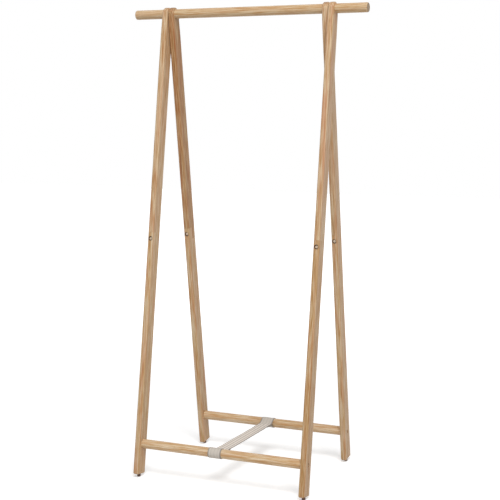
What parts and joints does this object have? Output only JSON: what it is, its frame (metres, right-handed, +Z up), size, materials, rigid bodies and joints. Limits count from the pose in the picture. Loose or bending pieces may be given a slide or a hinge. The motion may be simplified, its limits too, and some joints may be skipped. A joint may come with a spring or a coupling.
{
  "type": "folding clothes rack",
  "caption": "Free-standing folding A-frame clothes rack of wood: two leg frames turn on a round hanging bar, and a webbing strap between their stretchers stops them open.",
  "frame": {"origin": "on the floor, in the middle of the open rack's footprint", "axes": "+X along the hanging bar, +Y from the front frame to the rear frame, +Z up"},
  "size_m": [0.8, 0.4838, 1.506],
  "materials": {
    "upper_wood": "light hardwood, planed and sanded, clear satin lacquer",
    "lower_wood": "the same hardwood, a little warmer in colour, clear satin lacquer",
    "steel": "zinc-plated steel, satin",
    "brown_plastic": "moulded, dark brown",
    "webbing": "woven cotton webbing, undyed light grey-beige"
  },
  "bodies": {
    "front_frame": {"hanging_bar": "upper_wood", "bar_screws": "steel", "front_left_upper_leg": "upper_wood", "front_right_upper_leg": "upper_wood", "front_left_lower_leg": "lower_wood", "front_right_lower_leg": "lower_wood", "front_stretcher": "lower_wood", "front_leg_bolts": "steel", "front_leg_nuts": "steel", "front_stretcher_bolts": "steel", "front_stretcher_inserts": "steel", "front_left_glide": "brown_plastic", "front_right_glide": "brown_plastic", "front_glide_nails": "steel", "front_strap_loop": "webbing", "strap_span": "webbing"},
    "rear_frame": {"rear_left_upper_leg": "upper_wood", "rear_right_upper_leg": "upper_wood", "rear_left_lower_leg": "lower_wood", "rear_right_lower_leg": "lower_wood", "rear_stretcher": "lower_wood", "rear_leg_bolts": "steel", "rear_leg_nuts": "steel", "rear_stretcher_bolts": "steel", "rear_stretcher_inserts": "steel", "rear_left_glide": "brown_plastic", "rear_right_glide": "brown_plastic", "rear_glide_nails": "steel", "rear_strap_loop": "webbing"}
  },
  "joints": [
    {"name": "rack_fold", "type": "hinge", "parent": "front_frame", "child": "rear_frame", "pos_m": [0, 0, 1.4855], "axis": [-1, 0, 0], "range_deg": [0, 15.28], "deforming": ["strap_span"]}
  ]
}
